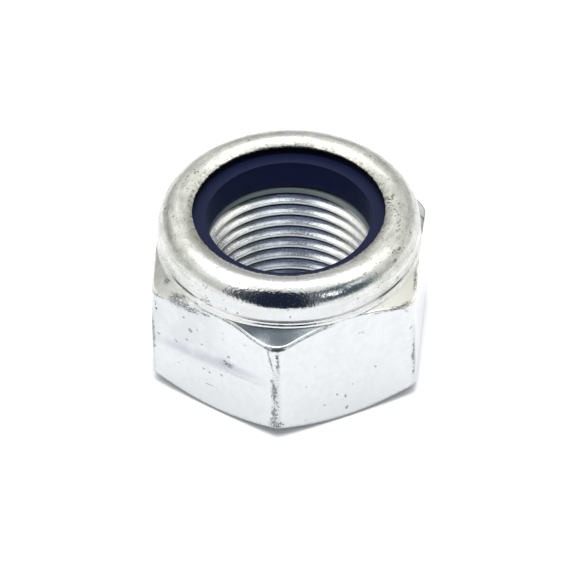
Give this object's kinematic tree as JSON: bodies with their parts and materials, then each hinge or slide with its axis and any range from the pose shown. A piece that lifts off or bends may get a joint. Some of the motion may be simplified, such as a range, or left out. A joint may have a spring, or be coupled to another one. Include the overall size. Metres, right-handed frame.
{
  "type": "nylon insert lock nut",
  "caption": "Hexagon lock nut with a round collar rolled in over a dark blue nylon ring, which grips the bolt's thread so that the nut stays put.",
  "frame": {"origin": "centre of the bearing face, on the thread's axis", "axes": "+Z along the thread's axis, from the bearing face to the collar; +X through the middle of a wrench flat and +Y through a corner"},
  "size_m": [0.036, 0.0414, 0.024],
  "materials": {
    "zinc_plated_steel": "bright zinc plating",
    "blue_nylon": "moulded, half gloss"
  },
  "bodies": {
    "root": {"nut_body": "zinc_plated_steel", "nylon_ring": "blue_nylon"}
  },
  "joints": []
}
